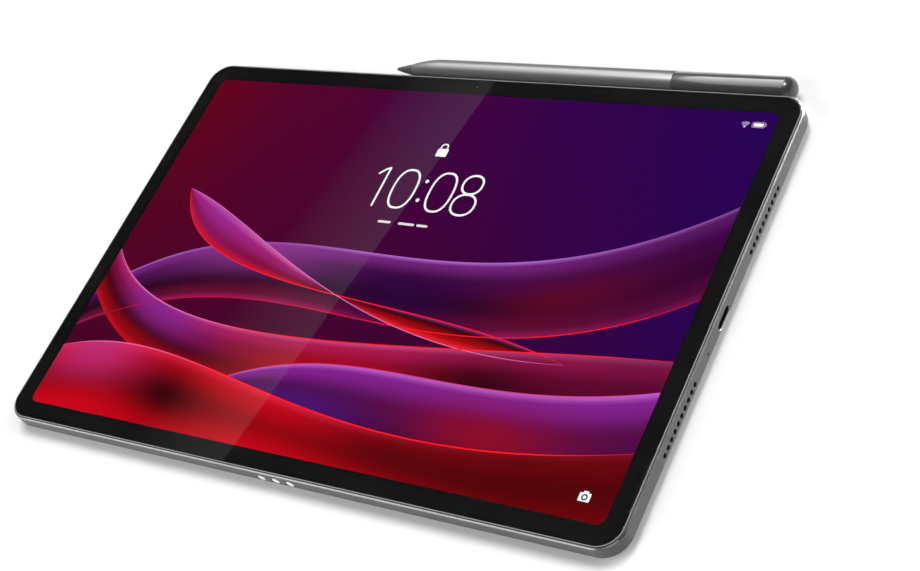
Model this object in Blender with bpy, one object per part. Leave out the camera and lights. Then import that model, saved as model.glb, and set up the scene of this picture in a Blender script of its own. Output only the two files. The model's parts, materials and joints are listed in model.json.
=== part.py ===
"""A 12.7 inch class tablet computer with its pen docked on the upper long edge.

Lengths are in millimetres in the functions below and become metres when a
mesh is written. The working frame has its origin at the middle of the cover
glass's outer face: +X to the right of the screen, +Y towards the edge that
holds the pen, +Z out of the screen. PLACE moves that frame so that the
object's own origin is the centre of the bottom of its bounding box, with the
tablet lying on its back, screen up.
"""

import math

import bmesh
import bpy
from mathutils import Matrix, Vector

# ---------------------------------------------------------------- dimensions
BODY_X, BODY_Y, BODY_T = 290.9, 188.3, 8.5   # body outline and thickness
CORNER_R = 10.0                              # plan radius of the side wall
RIM_TOP, RIM_CHAMFER = -0.37, 0.45           # polished front chamfer
WALL_LOW = -6.1                              # where the side wall turns under
RIM_IN, WALL_IN = 0.45, 1.3                  # insets of the rim and inner wall
LEDGE_Z, FLOOR_Z = -1.65, -7.35              # bezel ledge and cavity floor
GLASS_INSET, GLASS_T = 1.25, 0.55
ACTIVE_X, ACTIVE_Y = 273.5, 171.0            # lit area, 16:10
GAP = 0.3                                    # clearance between neighbours

HOLE_R, HOLE_PITCH, HOLES = 0.95, 3.08, 10   # each of four speaker rows
HOLE_Y0, HOLE_Z = 27.4, -4.1
USB_L, USB_H, USB_Z = 9.3, 2.9, -4.55
MIC_Y, MIC_Z, MIC_R = -15.2, -4.25, 0.45
POGO_X, POGO_PITCH, POGO_Z, POGO_R = -0.6, 6.9, -4.4, 1.5

ISLAND_X, ISLAND_Y, ISLAND_PITCH = -97.8, 68.7, 23.5
ISLAND_R, ISLAND_TOP = 15.0, -10.1           # stadium radius, outer face
RING_TOP = -10.6                             # lowest point of the whole body

POWER_Y, POWER_L, KEY_H, KEY_Z, KEY_OUT = 68.0, 14.0, 2.4, -3.7, 0.3
VOLUME_X, VOLUME_L = -116.0, 24.0

PEN_R, PEN_TIP_X, PEN_END_X, PEN_JOINT_X = 4.9, -47.5, 136.8, 87.0
PEN_Y, PEN_Z = BODY_Y / 2 + GAP + PEN_R, -3.7

HX, HY = BODY_X / 2, BODY_Y / 2
PLACE = Vector((KEY_OUT / 2, -(PEN_Y + PEN_R - HY) / 2, -RING_TOP))

# ------------------------------------------------------------------- scene
for old in list(bpy.data.objects):
    bpy.data.objects.remove(old, do_unlink=True)


def material(name, rgb, rough, metal=0.0):
    mat = bpy.data.materials.new(name)
    mat.use_nodes = True
    bsdf = mat.node_tree.nodes["Principled BSDF"]
    bsdf.inputs["Base Color"].default_value = (*rgb, 1.0)
    bsdf.inputs["Roughness"].default_value = rough
    bsdf.inputs["Metallic"].default_value = metal
    mat.diffuse_color = (*rgb, 1.0)
    return mat


MATS = {
    "anodised": material("anodised_aluminium", (0.26, 0.28, 0.27), 0.38, 1.0),
    "island": material("island_aluminium", (0.34, 0.36, 0.35), 0.34, 1.0),
    "polished": material("polished_ring", (0.75, 0.76, 0.76), 0.12, 1.0),
    "lip": material("bezel_polymer", (0.16, 0.16, 0.16), 0.45),
    "glass": material("cover_glass", (0.008, 0.008, 0.009), 0.05),
    "lens": material("lens_glass", (0.004, 0.004, 0.005), 0.04),
    "lcd": material("lcd_cell", (0.06, 0.01, 0.07), 0.3),
    "backlight": material("backlight_stack", (0.75, 0.76, 0.78), 0.4),
    "magnesium": material("magnesium_plate", (0.35, 0.35, 0.36), 0.5, 1.0),
    "cell": material("battery_pouch", (0.05, 0.05, 0.055), 0.55),
    "pcb": material("circuit_board", (0.02, 0.09, 0.05), 0.5),
    "shield": material("shield_steel", (0.6, 0.6, 0.6), 0.35, 1.0),
    "graphite": material("graphite_sheet", (0.07, 0.07, 0.075), 0.5),
    "steel": material("connector_steel", (0.55, 0.55, 0.55), 0.3, 1.0),
    "black": material("black_polymer", (0.02, 0.02, 0.02), 0.5),
    "mesh": material("acoustic_mesh", (0.01, 0.01, 0.01), 0.7),
    "flex": material("flex_circuit", (0.35, 0.16, 0.03), 0.45),
    "gold": material("contact_plating", (0.75, 0.74, 0.70), 0.2, 1.0),
    "flash": material("flash_window", (0.85, 0.83, 0.72), 0.2),
    "pen": material("pen_aluminium", (0.33, 0.34, 0.34), 0.3, 1.0),
    "pen_rear": material("pen_rear_gloss", (0.12, 0.12, 0.12), 0.15),
    "nib": material("nib_polymer", (0.10, 0.10, 0.10), 0.45),
    "magnet": material("magnet_nickel", (0.5, 0.5, 0.5), 0.3, 1.0),
}


def empty(name, at):
    node = bpy.data.objects.new(name, None)
    node.location = (Vector(at) + PLACE) / 1000.0
    node.empty_display_size = 0.01
    bpy.context.collection.objects.link(node)
    return node


TABLET = empty("tablet_axis", (0, 0, 0))
PEN = empty("pen_axis", (0, PEN_Y, PEN_Z))


def finish(name, bm, mat, origin=(0, 0, 0), parent=None, cutter=False, sharp=30.0):
    """Writes a mesh, its vertices measured from origin, as an object."""
    bmesh.ops.recalc_face_normals(bm, faces=bm.faces)
    origin = Vector(origin)
    for v in bm.verts:
        v.co = (v.co - origin) / 1000.0
    mesh = bpy.data.meshes.new(name)
    bm.to_mesh(mesh)
    bm.free()
    obj = bpy.data.objects.new(name, mesh)
    bpy.context.collection.objects.link(obj)
    where = (origin + PLACE) / 1000.0
    if parent is not None:
        obj.parent = parent
        obj.matrix_parent_inverse = Matrix.Identity(4)
        obj.location = where - parent.location
    else:
        obj.location = where
    if cutter:
        obj.hide_render = True
        obj.display_type = "WIRE"
    else:
        mesh.materials.append(MATS[mat])
        mesh.shade_smooth()
        mesh.set_sharp_from_angle(angle=math.radians(sharp))
    return obj


def cut(obj, cutter, op="DIFFERENCE"):
    mod = obj.modifiers.new(cutter.name, "BOOLEAN")
    mod.object = cutter
    mod.operation = op
    mod.solver = "EXACT"


# ------------------------------------------------------------------ outlines
def rounded(hx, hy, r, seg):
    """A rounded rectangle, anticlockwise, with seg + 1 points per corner."""
    r = max(min(r, hx, hy), 0.01)
    out = []
    for cx, cy, start in ((hx - r, hy - r, 0), (r - hx, hy - r, 90),
                          (r - hx, r - hy, 180), (hx - r, r - hy, 270)):
        for i in range(seg + 1):
            a = math.radians(start + 90.0 * i / seg)
            out.append((cx + r * math.cos(a), cy + r * math.sin(a)))
    return out


def inset(d, seg=7):
    """The body's outline, moved in by d."""
    return rounded(HX - d, HY - d, max(CORNER_R - d, 1.0), seg)


def stadium(length, width, seg=6):
    """Half-round ends along the first axis."""
    return rounded(length / 2, width / 2, width / 2 - 0.001, seg)


def to_xyz(points, level, axis="z"):
    if axis == "z":
        return [Vector((a, b, level)) for a, b in points]
    if axis == "x":
        return [Vector((level, a, b)) for a, b in points]
    return [Vector((a, level, b)) for a, b in points]


def loft(loops, closed=False, bm=None):
    """Skins equal-length loops in order; open stacks get end caps."""
    bm = bm or bmesh.new()
    rings = [[bm.verts.new(p) for p in loop] for loop in loops]
    n = len(rings[0])
    pairs = list(zip(rings, rings[1:]))
    if closed:
        pairs.append((rings[-1], rings[0]))
    for a, b in pairs:
        for i in range(n):
            j = (i + 1) % n
            bm.faces.new((a[i], a[j], b[j], b[i]))
    if not closed:
        bm.faces.new(list(reversed(rings[0])))
        bm.faces.new(rings[-1])
    return bm


def shift(points, dx, dy):
    return [(x + dx, y + dy) for x, y in points]


def prism(points, lo, hi, axis="z", bm=None):
    return loft([to_xyz(points, lo, axis), to_xyz(points, hi, axis)], bm=bm)


def block(x0, x1, y0, y1, z0, z1, r=0.0, seg=2, bm=None):
    """A box; r rounds its upright edges."""
    hx, hy = (x1 - x0) / 2, (y1 - y0) / 2
    pts = rounded(hx, hy, r, seg) if r else [(hx, hy), (-hx, hy), (-hx, -hy), (hx, -hy)]
    return prism(shift(pts, (x0 + x1) / 2, (y0 + y1) / 2), z0, z1, bm=bm)


def rod(cx, cy, r, lo, hi, axis="z", n=12, bm=None, r2=None):
    """A cylinder, or a cone frustum when r2 is given."""
    def circle(rad):
        return [(cx + rad * math.cos(2 * math.pi * (i + 0.5) / n),
                 cy + rad * math.sin(2 * math.pi * (i + 0.5) / n)) for i in range(n)]
    a, b = circle(r), circle(r if r2 is None else r2)
    return loft([to_xyz(a, lo, axis), to_xyz(b, hi, axis)], bm=bm)


def turned(profile, cx, cy, axis="z", n=24, closed=False):
    """Turns (radius, height) points about an axis through cx, cy."""
    loops = []
    for rad, level in profile:
        pts = [(cx + rad * math.cos(2 * math.pi * i / n),
                cy + rad * math.sin(2 * math.pi * i / n)) for i in range(n)]
        loops.append(to_xyz(pts, level, axis))
    return loft(loops, closed=closed)


# ------------------------------------------------------------- rear housing
# One machined tub: cavity floor, inner wall, bezel ledge, rim, polished
# chamfer, flat side wall, two facets and a shallow curve onto the flat back.
housing_profile = [
    (6.5, FLOOR_Z), (WALL_IN, -5.7), (WALL_IN, LEDGE_Z), (RIM_IN, LEDGE_Z),
    (RIM_IN, RIM_TOP), (0.0, RIM_TOP - RIM_CHAMFER), (0.0, WALL_LOW),
    (0.45, -6.85), (1.15, -7.3), (2.2, -7.8), (3.8, -8.25), (6.0, -BODY_T),
]
rear_housing = finish(
    "rear_housing",
    loft([to_xyz(inset(d), z) for d, z in housing_profile]),
    "anodised", parent=TABLET, sharp=18.0)

# Screw bosses, joined to the cavity floor.
SCREWS = [(sx * 140.2, sy * 80.0) for sx in (-1, 1) for sy in (-1, 1)]
bosses = bmesh.new()
for x, y in SCREWS:
    rod(x, y, 1.9, -7.7, -3.65, bm=bosses)
cut(rear_housing, finish("boss_tool", bosses, None, cutter=True), "UNION")

# Every opening through the wall or floor that meets no other opening.
openings = bmesh.new()
for side in (-1, 1):
    for row in (-1, 1):
        for i in range(HOLES):
            rod(row * (HOLE_Y0 + i * HOLE_PITCH), HOLE_Z, HOLE_R,
                side * (HX - 2.2), side * (HX + 1.0), "x", n=10, bm=openings)
prism(shift(stadium(USB_L, USB_H), 0, USB_Z), HX - 1.0, HX + 1.0, "x", bm=openings)
block(136.4, HX - 0.9, -4.85, 4.85, -6.45, -2.6, bm=openings)
rod(MIC_Y, MIC_Z, MIC_R, HX - 2.2, HX + 1.0, "x", n=8, bm=openings)
for i in (-1, 0, 1):
    rod(POGO_X + i * POGO_PITCH, POGO_Z, POGO_R + GAP, -HY - 1.0, -HY + 2.2, "y",
        n=14, bm=openings)
prism(shift(stadium(POWER_L + 0.7, KEY_H + 0.7, 5), POWER_Y, KEY_Z), -HX - 1.0, -HX + 2.0,
      "x", bm=openings)
prism(shift(stadium(VOLUME_L + 0.7, KEY_H + 0.7, 5), VOLUME_X, KEY_Z), HY - 2.0, HY + 1.0,
      "y", bm=openings)
for x, y in SCREWS:
    rod(x, y, 1.0, -5.6, -3.0, bm=openings)
cut(rear_housing, finish("opening_tool", openings, None, cutter=True))

# Shallow pocket for the camera island, then its three bores.
def island_outline(grow, seg=9):
    return shift(stadium(2 * ISLAND_PITCH + 2 * (ISLAND_R + grow), 2 * (ISLAND_R + grow), seg),
                 ISLAND_X, ISLAND_Y)


cut(rear_housing, finish("pocket_tool", prism(island_outline(GAP), -BODY_T - 1.0, -8.0),
                         None, cutter=True))
FLASH_X, MAIN_X, SECOND_X = (ISLAND_X + ISLAND_PITCH, ISLAND_X, ISLAND_X - ISLAND_PITCH)
bores = bmesh.new()
for x, r in ((FLASH_X, 3.3), (MAIN_X, 5.5), (SECOND_X, 4.5)):
    rod(x, ISLAND_Y, r, -9.5, -6.5, n=16, bm=bores)
cut(rear_housing, finish("bore_tool", bores, None, cutter=True))

# ------------------------------------------------------------ front assembly
bezel_profile = [(0.75, -0.15), (0.85, -0.02), (1.15, -0.02), (1.15, -0.85),
                 (1.8, -0.85), (1.8, -1.35), (0.75, -1.35)]
finish("bezel_frame", loft([to_xyz(inset(d), z) for d, z in bezel_profile], closed=True),
       "lip", parent=TABLET)
finish("cover_glass",
       loft([to_xyz(inset(d), z) for d, z in
             ((GLASS_INSET, -GLASS_T), (GLASS_INSET, -0.12), (GLASS_INSET + 0.14, 0.0))]),
       "glass", parent=TABLET)
finish("lcd_panel", block(-138.3, 138.3, -87.0, 87.0, -1.35, -0.85, 2.0), "lcd", parent=TABLET)
finish("backlight_unit", block(-138.3, 138.3, -87.0, 87.0, -2.45, -1.65, 2.0), "backlight",
       parent=TABLET)

# Magnesium plate with four screw ears and a relief for the USB connector.
plate = [(138.3, 5.4), (138.3, 76.5), (142.2, 76.5), (142.2, 83.5), (138.3, 83.5), (138.3, 87.0)]
outline = plate + [(-x, y) for x, y in reversed(plate[1:])]
outline += [(x, -y) for x, y in reversed(outline)]
relief = [(138.3, -5.4), (136.2, -5.4), (136.2, 5.4)]
outline = outline[:-1] + relief
seen, ring = set(), []
for p in outline:
    if p not in seen:
        ring.append(p)
        seen.add(p)
chassis_plate = finish("chassis_plate", prism(ring, -3.35, -2.75), "magnesium", parent=TABLET)
ear_holes = bmesh.new()
for x, y in SCREWS:
    rod(x, y, 1.05, -4.0, -2.0, bm=ear_holes)
cut(chassis_plate, finish("ear_tool", ear_holes, None, cutter=True))

for i, (x, y) in enumerate(SCREWS, 1):
    finish(f"chassis_screw_{i}", turned([(0.7, -5.3), (0.7, -2.45), (1.5, -2.45), (1.5, -1.8)],
                                        x, y, n=12),
           "steel", parent=TABLET)

# ----------------------------------------------------------- inside the case
finish("battery_cell_left", block(-92.0, -1.5, -78.0, 36.0, -7.05, -3.65, 2.0), "cell",
       parent=TABLET)
finish("battery_cell_right", block(1.5, 92.0, -78.0, 36.0, -7.05, -3.65, 2.0), "cell",
       parent=TABLET)
finish("mainboard", block(-58.0, 122.0, 41.0, 84.0, -4.95, -4.15, 1.5), "pcb", parent=TABLET)
finish("heat_spreader", block(-52.0, 116.0, 44.0, 82.0, -3.85, -3.65, 1.5), "graphite",
       parent=TABLET)
finish("shield_processor", block(-50.0, -4.0, 46.0, 80.0, -7.0, -5.25, 1.0), "shield",
       parent=TABLET)
finish("shield_radio", block(10.0, 60.0, 46.0, 80.0, -7.0, -5.25, 1.0), "shield", parent=TABLET)
finish("shield_power", block(72.0, 114.0, 50.0, 78.0, -7.0, -5.25, 1.0), "shield", parent=TABLET)
finish("usb_board", block(106.0, 136.0, -20.0, 20.0, -5.8, -5.0, 1.0), "pcb", parent=TABLET)
finish("display_flex",
       prism([(87.3, -0.95), (87.3, -4.45), (84.3, -4.45), (84.3, -4.65), (87.5, -4.65),
              (87.5, -0.95)], 24.0, 56.0, "x"),
       "flex", parent=TABLET)

# USB-C receptacle: a flat-oval shell, closed at the back, with its tongue.
usb = finish("usb_c_receptacle", prism(shift(stadium(8.94, 3.16, 5), 0, USB_Z), 137.0, 143.85, "x"),
             "steel", parent=TABLET)
cut(usb, finish("usb_hollow_tool", prism(shift(stadium(8.34, 2.56, 5), 0, USB_Z), 138.0, 145.0, "x"),
                None, cutter=True))
cut(usb, finish("usb_tongue_tool", block(137.5, 143.0, -3.34, 3.34, USB_Z - 0.35, USB_Z + 0.35),
                None, cutter=True), "UNION")

for tag, sx in (("left", -1), ("right", 1)):
    for row, sy in (("upper", 1), ("lower", -1)):
        outline = [(sx * 126.0, -3.65), (sx * 143.15, -3.65), (sx * 143.15, -5.6),
                   (sx * 138.4, -7.0), (sx * 126.0, -7.0)]
        finish(f"speaker_{tag}_{row}", prism(outline, sy * 25.0, sy * 58.0, "y"), "black",
               parent=TABLET)
        finish(f"speaker_mesh_{tag}_{row}",
               block(*sorted((sx * 143.45, sx * 143.85)), *sorted((sy * 25.0, sy * 57.8)),
                     -5.35, -2.9), "mesh", parent=TABLET)

finish("microphone", block(141.2, 143.8, MIC_Y - 1.9, MIC_Y + 1.9, -5.3, -3.3), "steel",
       parent=TABLET)
finish("front_camera", turned([(2.0, -4.2), (2.0, -1.2), (1.1, -1.2), (1.1, -0.85)],
                              0.0, 89.8, n=16), "black", parent=TABLET)
finish("light_sensor", block(16.1, 18.5, 88.8, 90.8, -2.0, -0.85), "black", parent=TABLET)

for i, tag in ((-1, "a"), (0, "b"), (1, "c")):
    finish(f"dock_contact_{tag}",
           turned([(POGO_R, -92.4), (POGO_R, -HY + 0.2), (POGO_R - 0.35, -HY + 0.02)],
                  POGO_X + i * POGO_PITCH, POGO_Z, "y", n=16), "gold", parent=TABLET)
finish("dock_contact_carrier", block(-11.6, 10.4, -92.1, -89.0, -5.6, -2.9), "black",
       parent=TABLET)

finish("dock_magnet_inner", block(5.0, 36.0, 89.4, 92.5, -5.3, -2.9), "magnet", parent=TABLET)
finish("dock_charge_coil", block(44.0, 74.0, 90.0, 92.5, -5.3, -2.9), "flex", parent=TABLET)
finish("dock_magnet_outer", block(88.0, 120.0, 89.4, 92.5, -5.3, -2.9), "magnet", parent=TABLET)

# ------------------------------------------------------------- camera island
camera_island = finish(
    "camera_island",
    loft([to_xyz(island_outline(g), z) for g, z in
          ((0.0, -8.3), (0.0, -9.2), (-0.35, -9.45), (-0.55, ISLAND_TOP + 0.12),
           (-0.75, ISLAND_TOP))]),
    "island", parent=TABLET, sharp=20.0)
steps = bmesh.new()
for x in (MAIN_X, SECOND_X):
    rod(x, ISLAND_Y, 9.6, -11.0, -9.0, n=28, bm=steps)
rod(FLASH_X, ISLAND_Y, 9.6, -11.0, -9.4, n=28, bm=steps)
cut(camera_island, finish("step_tool", steps, None, cutter=True))
through = bmesh.new()
for x, r in ((FLASH_X, 3.3), (MAIN_X, 5.5), (SECOND_X, 4.5)):
    rod(x, ISLAND_Y, r, -9.7, -8.0, n=16, bm=through)
cut(camera_island, finish("through_tool", through, None, cutter=True))

for tag, x in (("main", MAIN_X), ("second", SECOND_X)):
    finish(f"lens_ring_{tag}",
           turned([(8.3, -9.3), (9.3, -9.3), (9.3, RING_TOP + 0.25), (9.0, RING_TOP),
                   (8.6, RING_TOP), (8.3, RING_TOP + 0.2)], x, ISLAND_Y, n=28, closed=True),
           "polished", parent=TABLET)
    finish(f"lens_window_{tag}",
           turned([(8.0, -9.3), (8.0, -10.2), (7.8, -10.35)], x, ISLAND_Y, n=28),
           "lens", parent=TABLET)
finish("flash_disc",
       turned([(3.0, -9.7), (9.3, -9.7), (9.3, ISLAND_TOP), (3.0, ISLAND_TOP)],
              FLASH_X, ISLAND_Y, n=28, closed=True), "island", parent=TABLET)
finish("flash_window", turned([(2.7, -8.6), (2.7, ISLAND_TOP + 0.1), (2.5, ISLAND_TOP)],
                              FLASH_X, ISLAND_Y, n=20), "flash", parent=TABLET)
finish("flash_led", block(FLASH_X - 1.9, FLASH_X + 1.9, ISLAND_Y - 1.9, ISLAND_Y + 1.9,
                          -8.2, -6.3), "flash", parent=TABLET)
for tag, x, half, barrel, top in (("main", MAIN_X, 5.6, 4.2, -3.65),
                                  ("second", SECOND_X, 4.3, 3.0, -4.3)):
    n = 16
    square = []
    for i in range(n):
        a = 2 * math.pi * (i + 0.5) / n
        m = max(abs(math.cos(a)), abs(math.sin(a)))
        square.append((x + half * math.cos(a) / m, ISLAND_Y + half * math.sin(a) / m))
    circle = [(x + barrel * math.cos(2 * math.pi * (i + 0.5) / n),
               ISLAND_Y + barrel * math.sin(2 * math.pi * (i + 0.5) / n)) for i in range(n)]
    finish(f"rear_camera_{tag}",
           loft([to_xyz(square, top), to_xyz(square, -7.0), to_xyz(circle, -7.0),
                 to_xyz(circle, -8.9)]), "black", parent=TABLET)

# -------------------------------------------------------------------- keys
def key(name, centre, length, axis, sign, mat="anodised"):
    """A key with a retaining flange behind the wall; origin on its axis."""
    along, level = centre
    face = (HX if axis == "x" else HY) + KEY_OUT
    stack = [(length - 0.5, KEY_H - 0.5, face), (length, KEY_H, face - 0.22),
             (length, KEY_H, face - 1.9), (length + 3.0, 3.4, face - 1.9),
             (length + 3.0, 3.4, face - 2.35)]
    loops = [to_xyz(shift(stadium(a, b, 5), along, level), sign * c, axis) for a, b, c in stack]
    mid = sign * (face - 1.2)
    origin = (mid, along, level) if axis == "x" else (along, mid, level)
    return finish(name, loft(loops), mat, origin=origin, parent=TABLET)


key("power_button", (POWER_Y, KEY_Z), POWER_L, "x", -1)
key("volume_rocker", (VOLUME_X, KEY_Z), VOLUME_L, "y", 1)
finish("power_switch", block(-142.8, -141.0, POWER_Y - 2.5, POWER_Y + 2.5, -4.9, -2.5), "steel",
       parent=TABLET)
for tag, x in (("up", VOLUME_X - 8.0), ("down", VOLUME_X + 8.0)):
    finish(f"volume_switch_{tag}", block(x - 2.3, x + 2.3, 90.0, 91.7, -4.9, -2.5), "steel",
           parent=TABLET)

# --------------------------------------------------------------------- pen
finish("pen_barrel",
       turned([(1.4, -38.6), (2.55, -38.6), (2.75, -38.2), (3.45, -35.0), (4.1, -31.6),
               (4.6, -28.0), (4.84, -24.4), (PEN_R, -20.5), (PEN_R, PEN_JOINT_X),
               (3.9, PEN_JOINT_X), (3.9, -27.0), (1.4, -31.5)],
              PEN_Y, PEN_Z, "x", n=24, closed=True),
       "pen", origin=(0, PEN_Y, PEN_Z), parent=PEN)
rear = [(PEN_R, PEN_JOINT_X + GAP)]
for i in range(7):
    a = math.radians(90.0 * i / 6)
    rear.append((0.9 + (PEN_R - 0.9) * math.cos(a), PEN_END_X - 4.2 + 4.2 * math.sin(a)))
rear.append((0.02, PEN_END_X))
finish("pen_rear_sleeve",
       turned([(0.02, 131.0), (3.9, 131.0), (3.9, PEN_JOINT_X + GAP)] + rear,
              PEN_Y, PEN_Z, "x", n=24),
       "pen_rear", origin=(110.0, PEN_Y, PEN_Z), parent=PEN)
finish("pen_nib",
       turned([(0.3, PEN_TIP_X), (0.62, PEN_TIP_X + 0.25), (0.8, PEN_TIP_X + 0.8),
               (1.75, -42.4), (2.35, -39.6), (2.4, -38.95), (1.0, -38.95), (1.0, -32.5)],
              PEN_Y, PEN_Z, "x", n=20),
       "nib", origin=(-38.95, PEN_Y, PEN_Z), parent=PEN)
finish("pen_board", block(-20.0, 34.0, PEN_Y - 2.6, PEN_Y + 2.6, PEN_Z - 0.4, PEN_Z + 0.4),
       "pcb", origin=(0, PEN_Y, PEN_Z), parent=PEN)
finish("pen_battery", rod(PEN_Y, PEN_Z, 3.4, 38.0, 94.0, "x", n=14), "cell",
       origin=(66, PEN_Y, PEN_Z), parent=PEN)
finish("pen_magnet", rod(PEN_Y, PEN_Z, 3.2, 97.0, 122.0, "x", n=14), "magnet",
       origin=(110, PEN_Y, PEN_Z), parent=PEN)
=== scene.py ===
"""A tablet computer lying screen up with its pen docked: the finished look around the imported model."""
import json
import math

import bmesh
import bpy
from mathutils import Matrix, Vector

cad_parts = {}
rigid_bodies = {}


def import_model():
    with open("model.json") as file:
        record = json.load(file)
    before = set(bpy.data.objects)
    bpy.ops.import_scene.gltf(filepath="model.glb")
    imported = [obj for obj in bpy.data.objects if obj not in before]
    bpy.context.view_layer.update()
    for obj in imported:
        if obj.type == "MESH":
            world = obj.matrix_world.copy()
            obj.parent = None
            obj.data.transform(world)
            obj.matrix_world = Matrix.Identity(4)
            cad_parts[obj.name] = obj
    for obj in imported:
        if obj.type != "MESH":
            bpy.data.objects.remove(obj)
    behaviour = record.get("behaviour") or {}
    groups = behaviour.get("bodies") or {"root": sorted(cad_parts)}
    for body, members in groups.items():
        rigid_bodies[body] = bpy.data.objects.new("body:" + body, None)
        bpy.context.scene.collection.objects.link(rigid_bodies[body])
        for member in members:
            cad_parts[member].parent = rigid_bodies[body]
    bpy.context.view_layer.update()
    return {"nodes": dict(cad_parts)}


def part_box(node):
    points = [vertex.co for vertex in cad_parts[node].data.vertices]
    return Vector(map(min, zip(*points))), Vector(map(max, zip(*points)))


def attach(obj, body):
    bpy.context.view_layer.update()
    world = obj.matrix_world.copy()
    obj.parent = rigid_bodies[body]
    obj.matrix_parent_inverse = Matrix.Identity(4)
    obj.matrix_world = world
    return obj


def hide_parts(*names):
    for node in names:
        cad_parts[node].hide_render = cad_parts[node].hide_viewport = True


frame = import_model()
NODES = frame["nodes"]

# The drawing frame: millimetres from the middle of the glass's outer face.
glass_lo, glass_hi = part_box("cover_glass")
O = Vector(((glass_lo.x + glass_hi.x) / 2, (glass_lo.y + glass_hi.y) / 2, glass_hi.z))

# ------------------------------------------------------------------ sizes, mm
HX, HY, THICK, CORNER = 145.45, 94.15, 8.5, 10.0
ACTIVE_X, ACTIVE_Y = 136.75, 85.5
HOLE_R, HOLE_PITCH, HOLE_Y0, HOLE_Z = 0.98, 3.08, 27.4, -4.1
USB_L, USB_H, USB_Z = 9.3, 2.9, -4.55
MIC_Y, MIC_Z, MIC_R = -15.2, -4.25, 0.45
POGO_X, POGO_PITCH, POGO_Z, POGO_R = -0.6, 6.9, -4.4, 1.5
ISLAND_X, ISLAND_Y, PITCH, ISLAND_R = -97.8, 68.7, 23.5, 15.0
FLASH_X, MAIN_X, SECOND_X = ISLAND_X + PITCH, ISLAND_X, ISLAND_X - PITCH
KEY_H, KEY_Z, KEY_OUT = 2.4, -3.7, 0.3
POWER_Y, POWER_L, VOLUME_X, VOLUME_L = 68.0, 14.0, -116.0, 24.0
PEN_R, PEN_Y, PEN_Z = 4.9, 99.35, -3.7
PEN_TIP, PEN_JOINT, PEN_END = -47.5, 87.0, 136.8


def srgb(r, g, b):
    """Linear values of an 8-bit display colour."""
    out = []
    for c in (r, g, b):
        c /= 255.0
        out.append(c / 12.92 if c <= 0.04045 else ((c + 0.055) / 1.055) ** 2.4)
    return tuple(out)


# ------------------------------------------------------------------ materials
class Mat:
    """A small node-tree builder around one Principled shader."""

    def __init__(self, name, base, rough, metal=0.0, **sockets):
        self.m = bpy.data.materials.new(name)
        self.m.use_nodes = True
        self.nt = self.m.node_tree
        self.p = self.nt.nodes["Principled BSDF"]
        self.p.inputs["Base Color"].default_value = (*base, 1)
        self.p.inputs["Roughness"].default_value = rough
        self.p.inputs["Metallic"].default_value = metal
        for k, v in sockets.items():
            self.p.inputs[k.replace("_", " ")].default_value = v
        self.m.diffuse_color = (*base, 1)
        self._co = None

    def node(self, kind, **props):
        n = self.nt.nodes.new(kind)
        for k, v in props.items():
            setattr(n, k, v)
        return n

    def link(self, a, b):
        self.nt.links.new(a, b)

    @property
    def co(self):
        if self._co is None:
            self._co = self.node("ShaderNodeTexCoord").outputs["Object"]
        return self._co

    def mapped(self, scale=(1, 1, 1), rot=(0, 0, 0)):
        n = self.node("ShaderNodeMapping")
        n.inputs["Scale"].default_value = scale
        n.inputs["Rotation"].default_value = rot
        self.link(self.co, n.inputs["Vector"])
        return n.outputs[0]

    def noise(self, scale, detail=2.0, rough=0.5, vec=None):
        n = self.node("ShaderNodeTexNoise")
        n.inputs["Scale"].default_value = scale
        n.inputs["Detail"].default_value = detail
        n.inputs["Roughness"].default_value = rough
        self.link(vec or self.co, n.inputs["Vector"])
        return n.outputs["Fac"]

    def ranged(self, value, lo, hi, a, b, smooth=False):
        n = self.node("ShaderNodeMapRange")
        if smooth:
            n.interpolation_type = "SMOOTHSTEP"
        n.inputs["From Min"].default_value = lo
        n.inputs["From Max"].default_value = hi
        n.inputs["To Min"].default_value = a
        n.inputs["To Max"].default_value = b
        self.link(value, n.inputs["Value"])
        return n.outputs[0]

    def tint(self, fac, a, b):
        n = self.node("ShaderNodeMix", data_type="RGBA")
        n.inputs[6].default_value = (*a, 1)
        n.inputs[7].default_value = (*b, 1)
        self.link(fac, n.inputs[0])
        return n.outputs[2]

    def colour(self, socket):
        self.link(socket, self.p.inputs["Base Color"])
        return self

    def rough(self, socket):
        self.link(socket, self.p.inputs["Roughness"])
        return self

    def bump(self, height, distance, strength=1.0):
        n = self.node("ShaderNodeBump")
        n.inputs["Distance"].default_value = distance
        n.inputs["Strength"].default_value = strength
        self.link(height, n.inputs["Height"])
        self.link(n.outputs[0], self.p.inputs["Normal"])
        return self


def grained(name, base, rough, metal=0.0, vary=0.06, grain=2500.0, depth=1e-5, patch=60.0,
            spread=0.05, **sockets):
    """A surface with soft colour patches, varied gloss and a fine grain."""
    m = Mat(name, base, rough, metal, **sockets)
    lo = tuple(c * (1 - vary) for c in base)
    hi = tuple(min(1.0, c * (1 + vary)) for c in base)
    m.colour(m.tint(m.ranged(m.noise(patch, 4.0, 0.6), 0.3, 0.7, 0, 1), lo, hi))
    m.rough(m.ranged(m.noise(patch * 7, 3.0), 0.3, 0.7, rough - spread, rough + spread))
    m.bump(m.noise(grain, 1.0), depth)
    return m


def brushed(name, base, rough, direction=(1, 0, 0), vary=0.08, **sockets):
    """Metal with fine lines along one axis."""
    m = Mat(name, base, rough, 1.0, **sockets)
    scale = tuple(60.0 if d else 5200.0 for d in direction)
    lines = m.noise(1.0, 2.0, 0.6, m.mapped(scale))
    m.colour(m.tint(lines, tuple(c * (1 - vary) for c in base), tuple(min(1, c * (1 + vary)) for c in base)))
    m.rough(m.ranged(lines, 0.3, 0.7, rough - 0.05, rough + 0.06))
    m.bump(lines, 4e-6)
    return m


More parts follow.
